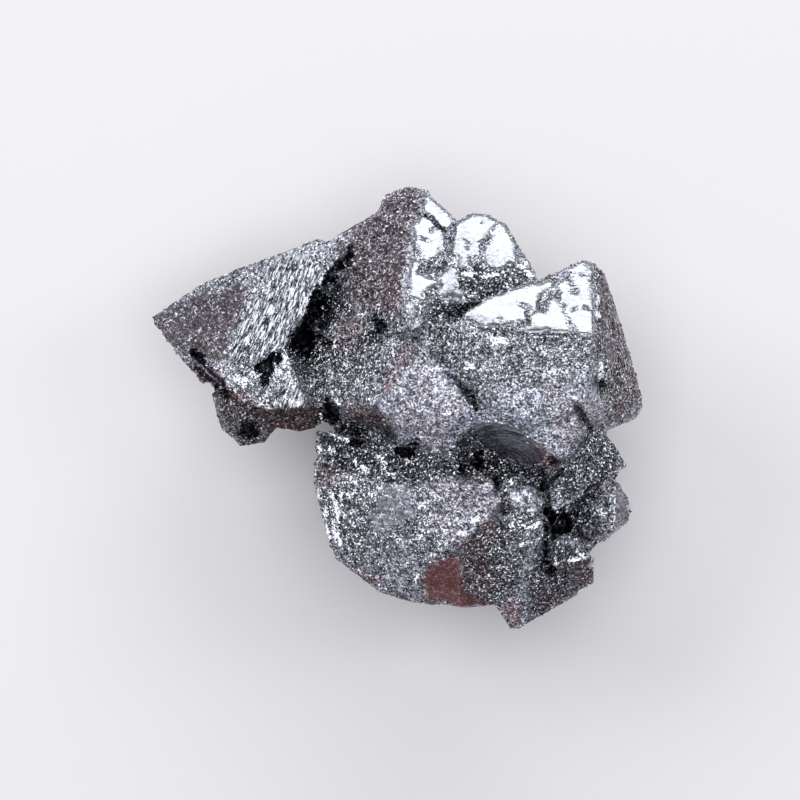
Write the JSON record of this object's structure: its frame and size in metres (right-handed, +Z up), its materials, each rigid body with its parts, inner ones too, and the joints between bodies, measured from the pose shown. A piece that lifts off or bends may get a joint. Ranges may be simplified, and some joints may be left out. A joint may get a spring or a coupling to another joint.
{
  "type": "hematite pseudomorph crystal cluster",
  "caption": "Intergrown cluster of octahedral hematite crystals, steel grey with mirror-bright patches and striated faces, lying on its flat broken back as a loose mineral specimen.",
  "frame": {"origin": "on the flat broken face that the cluster rests on, under the middle of its box", "axes": "+Z up, out of the crystal faces; +X towards the big right-hand block, away from the pointed left wing; +Y towards the sharp top ridge"},
  "size_m": [0.045, 0.0406, 0.0251],
  "materials": {
    "hematite": "natural steel-grey hematite: granular sparkling crystal faces, mirror-bright plates, a striated face and dull brown ones"
  },
  "bodies": {
    "root": {"hematite_cluster": "hematite"}
  },
  "joints": []
}
